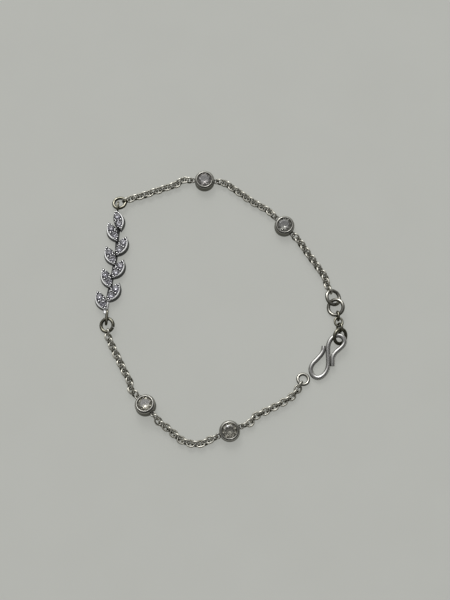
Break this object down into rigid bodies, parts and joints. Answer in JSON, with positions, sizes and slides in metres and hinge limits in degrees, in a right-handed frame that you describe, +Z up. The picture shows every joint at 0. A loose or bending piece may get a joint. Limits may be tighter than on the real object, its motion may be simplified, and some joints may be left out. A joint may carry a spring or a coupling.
{
  "type": "chain bracelet",
  "caption": "Fine cable-chain bracelet with bezel-set round stones, a leaf bar of small stones, jump rings and an S-hook, lying open in a loop.",
  "frame": {"origin": "on the surface the bracelet lies on, under the middle of its outline", "axes": "+Z up from the surface, +Y along the loop's longer way, from the hook's end towards the end away from it, +X towards the side with the hook"},
  "size_m": [0.0624, 0.0704, 0.0034],
  "materials": {
    "silver": "polished, lightly tarnished silver",
    "station_stone": "clear faceted stone, slightly smoky",
    "leaf_stone": "clear faceted stone"
  },
  "bodies": {
    "root": {"bezel_north": "silver", "stone_north": "station_stone", "bezel_northeast": "silver", "stone_northeast": "station_stone", "bezel_southwest": "silver", "stone_southwest": "station_stone", "bezel_south": "silver", "stone_south": "station_stone", "ring_leaf_top": "silver", "ring_leaf_foot": "silver", "ring_pair_upper": "silver", "ring_pair_lower": "silver", "ring_hook": "silver", "ring_catch": "silver", "chain_leaf_north": "silver", "chain_north_northeast": "silver", "chain_northeast_rings": "silver", "chain_leaf_southwest": "silver", "chain_southwest_south": "silver", "chain_south_end_ring": "silver", "chain_extension": "silver", "leaf_stone_1a": "leaf_stone", "leaf_stone_1b": "leaf_stone", "leaf_stone_2a": "leaf_stone", "leaf_stone_2b": "leaf_stone", "leaf_stone_3a": "leaf_stone", "leaf_stone_3b": "leaf_stone", "leaf_stone_4a": "leaf_stone", "leaf_stone_4b": "leaf_stone", "leaf_stone_5a": "leaf_stone", "leaf_stone_5b": "leaf_stone", "leaf_stone_6a": "leaf_stone", "leaf_stone_6b": "leaf_stone", "leaf_stone_7a": "leaf_stone", "leaf_stone_7b": "leaf_stone", "leaf_stone_8a": "leaf_stone", "leaf_stone_8b": "leaf_stone", "leaf_bar": "silver", "s_hook": "silver"}
  },
  "joints": []
}
